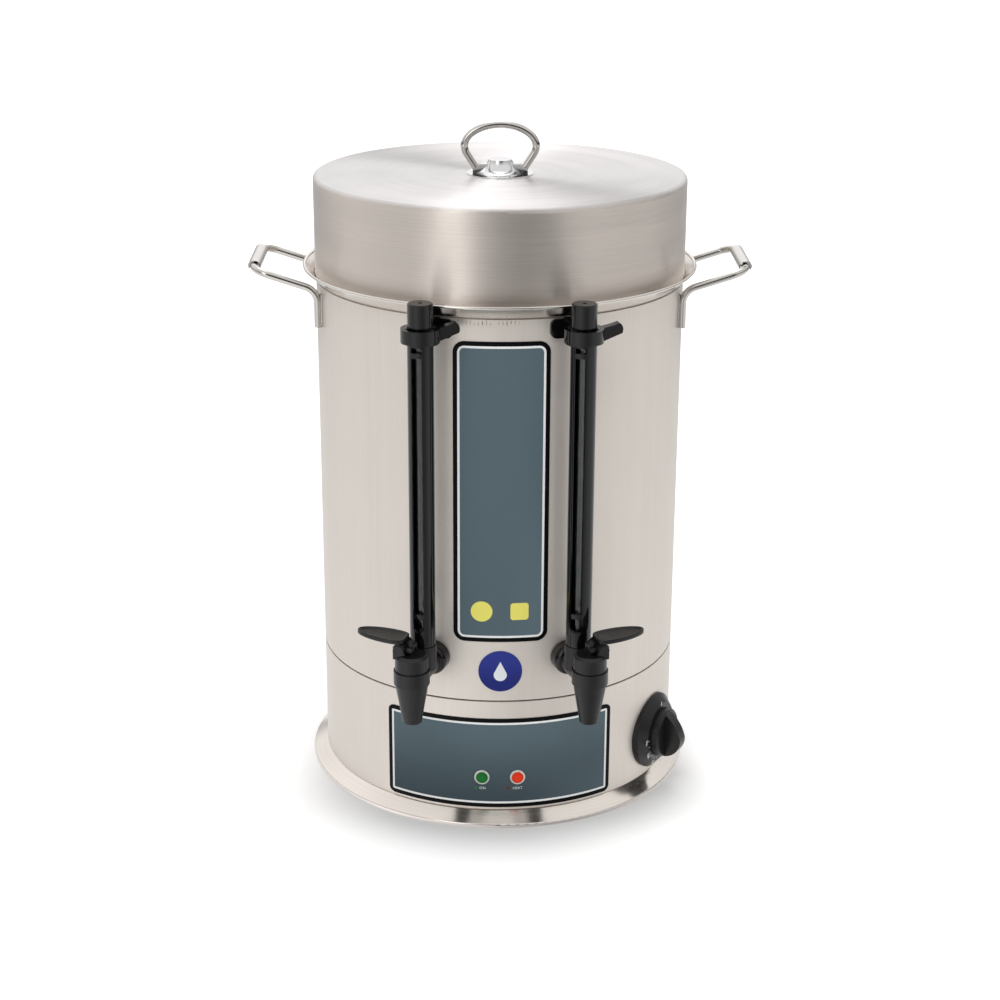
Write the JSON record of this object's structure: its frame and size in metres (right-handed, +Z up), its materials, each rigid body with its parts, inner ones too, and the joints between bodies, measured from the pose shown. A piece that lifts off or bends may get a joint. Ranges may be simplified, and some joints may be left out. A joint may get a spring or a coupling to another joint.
{
  "type": "tea urn with taps",
  "caption": "Steel tea urn: boiler on a drum base, press-lever taps with gauge columns, hanging brew pot and strainer under a tall lid, and a thermostat knob.",
  "frame": {"origin": "on the floor under the vessel's axis, in the plane of the foot's underside", "axes": "+Z up along the vessel's axis, -Y to the front with the taps, +X towards the side handle beside the knob"},
  "size_m": [0.4054, 0.3698, 0.552],
  "materials": {
    "vessel_steel": "brushed",
    "inner_steel": "satin",
    "polished_steel": "polished",
    "brass_fittings": "plain",
    "black_plastic": "glossy",
    "inner_plastic": "moulded",
    "gauge_glass": "clear",
    "seal_rubber": "soft silicone",
    "label_film": "printed",
    "blue_film": "printed",
    "green_lens": "clear dyed",
    "orange_lens": "clear dyed"
  },
  "bodies": {
    "urn": {"tank_wall": "vessel_steel", "rim_collar": "vessel_steel", "tank_floor": "inner_steel", "base_shell": "vessel_steel", "foot_ring": "vessel_steel", "base_pan": "inner_steel", "tie_rod": "inner_steel", "base_nuts": "brass_fittings", "heating_element": "polished_steel", "boiler_seals": "seal_rubber", "element_nuts": "brass_fittings", "thermostat_bulb": "brass_fittings", "thermostat_body": "inner_plastic", "safety_cutout": "inner_plastic", "terminal_block": "inner_plastic", "cord_gland": "black_plastic", "dial_bezel": "black_plastic", "front_label": "label_film", "control_panel": "label_film", "round_sticker": "blue_film", "lamp_bodies": "black_plastic", "power_lamp": "green_lens", "heating_lamp": "orange_lens", "left_tap_body": "black_plastic", "right_tap_body": "black_plastic", "left_tap_bonnet": "black_plastic", "right_tap_bonnet": "black_plastic", "lever_pins": "polished_steel", "wall_nuts": "black_plastic", "lock_nuts": "black_plastic", "tap_washers": "seal_rubber", "left_gauge_guard": "black_plastic", "right_gauge_guard": "black_plastic", "gauge_glasses": "gauge_glass", "gauge_caps": "black_plastic", "gauge_brackets": "black_plastic", "bracket_rivets": "polished_steel", "left_side_handle": "polished_steel", "right_side_handle": "polished_steel", "handle_grips": "polished_steel", "brew_pipe": "inner_steel", "pipe_union": "brass_fittings"},
    "thermostat_knob": {"thermostat_knob": "black_plastic", "thermostat_spindle": "polished_steel"},
    "left_tap_lever": {"left_tap_lever": "black_plastic"},
    "right_tap_lever": {"right_tap_lever": "black_plastic"},
    "left_valve": {"left_valve_stem": "polished_steel", "left_seat_cup": "seal_rubber"},
    "right_valve": {"right_valve_stem": "polished_steel", "right_seat_cup": "seal_rubber"},
    "left_lock_collar": {"left_lock_collar": "black_plastic"},
    "right_lock_collar": {"right_lock_collar": "black_plastic"},
    "brew_pot": {"brew_pot": "inner_steel", "pot_loops": "polished_steel"},
    "strainer": {"strainer_basket": "inner_steel", "basket_handle": "polished_steel"},
    "lid": {"lid": "vessel_steel", "lid_boss": "polished_steel", "lid_loop": "polished_steel", "lid_screw": "polished_steel"}
  },
  "joints": [
    {"name": "pot_lift", "type": "slide", "parent": "urn", "child": "brew_pot", "axis": [0, 0, 1], "range_m": [0, 0.2]},
    {"name": "strainer_lift", "type": "slide", "parent": "brew_pot", "child": "strainer", "axis": [0, 0, 1], "range_m": [0, 0.09]},
    {"name": "lid_lift", "type": "slide", "parent": "strainer", "child": "lid", "axis": [0, 0, 1], "range_m": [0, 0.12]},
    {"name": "knob_turn", "type": "hinge", "parent": "urn", "child": "thermostat_knob", "pos_m": [0.1364, -0.07875, 0.047], "axis": [0.866, -0.5, 0], "range_deg": [-240, 0]},
    {"name": "left_lever_press", "type": "hinge", "parent": "urn", "child": "left_tap_lever", "pos_m": [-0.07642, -0.18498, 0.1711], "axis": [-0.3469, -0.9379, 0], "range_deg": [0, 25], "stiffness_Nm_per_rad": 0.12, "springref_deg": -20.05},
    {"name": "left_valve_lift", "type": "slide", "parent": "urn", "child": "left_valve", "axis": [0, 0, 1], "range_m": [0, 0.0045]},
    {"name": "left_lock_turn", "type": "hinge", "parent": "urn", "child": "left_lock_collar", "pos_m": [-0.06106, -0.16507, 0.415], "axis": [0, 0, 1], "range_deg": [-60, 0]},
    {"name": "right_lever_press", "type": "hinge", "parent": "urn", "child": "right_tap_lever", "pos_m": [0.07642, -0.18498, 0.1711], "axis": [-0.3469, 0.9379, 0], "range_deg": [0, 25], "stiffness_Nm_per_rad": 0.12, "springref_deg": -20.05},
    {"name": "right_valve_lift", "type": "slide", "parent": "urn", "child": "right_valve", "axis": [0, 0, 1], "range_m": [0, 0.0045]},
    {"name": "right_lock_turn", "type": "hinge", "parent": "urn", "child": "right_lock_collar", "pos_m": [0.06106, -0.16507, 0.415], "axis": [0, 0, 1], "range_deg": [-60, 0]}
  ],
  "couplings": [
    {"joint": "left_valve_lift", "follows": "left_lever_press", "m_per_rad": 0.01},
    {"joint": "right_valve_lift", "follows": "right_lever_press", "m_per_rad": 0.01}
  ]
}
